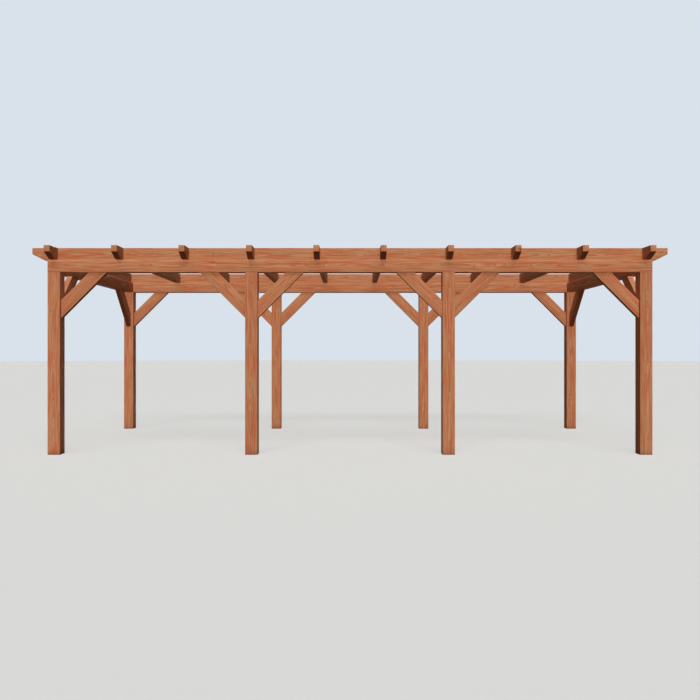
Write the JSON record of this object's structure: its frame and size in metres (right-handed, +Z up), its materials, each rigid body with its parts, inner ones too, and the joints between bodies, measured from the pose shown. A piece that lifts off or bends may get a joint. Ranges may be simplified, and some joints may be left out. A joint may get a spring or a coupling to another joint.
{
  "type": "patio cover",
  "caption": "Free-standing open timber patio cover: square posts, a ring of beams, diagonal knee braces, and lapped rafters with tapered tails.",
  "frame": {"origin": "on the ground, in the middle of the plan between the two rows of posts", "axes": "+X along the length from left to right as seen from the front, +Y from the front row of posts to the back row, +Z up"},
  "size_m": [9.848, 4.374, 3.2],
  "materials": {
    "redwood": "planed redwood under a clear matt oil, warm red brown with straight grain"
  },
  "bodies": {
    "root": {"front_post_1": "redwood", "front_post_2": "redwood", "front_post_3": "redwood", "front_post_4": "redwood", "back_post_1": "redwood", "back_post_2": "redwood", "back_post_3": "redwood", "back_post_4": "redwood", "front_beam": "redwood", "back_beam": "redwood", "left_beam": "redwood", "right_beam": "redwood", "front_brace_1": "redwood", "front_brace_2": "redwood", "front_brace_3": "redwood", "front_brace_4": "redwood", "front_brace_5": "redwood", "front_brace_6": "redwood", "back_brace_1": "redwood", "back_brace_2": "redwood", "back_brace_3": "redwood", "back_brace_4": "redwood", "back_brace_5": "redwood", "back_brace_6": "redwood", "left_front_brace": "redwood", "left_back_brace": "redwood", "right_front_brace": "redwood", "right_back_brace": "redwood", "front_top_rail": "redwood", "back_top_rail": "redwood", "rafter_1": "redwood", "rafter_2": "redwood", "rafter_3": "redwood", "rafter_4": "redwood", "rafter_5": "redwood", "rafter_6": "redwood", "rafter_7": "redwood", "rafter_8": "redwood", "rafter_9": "redwood", "rafter_10": "redwood"}
  },
  "joints": []
}
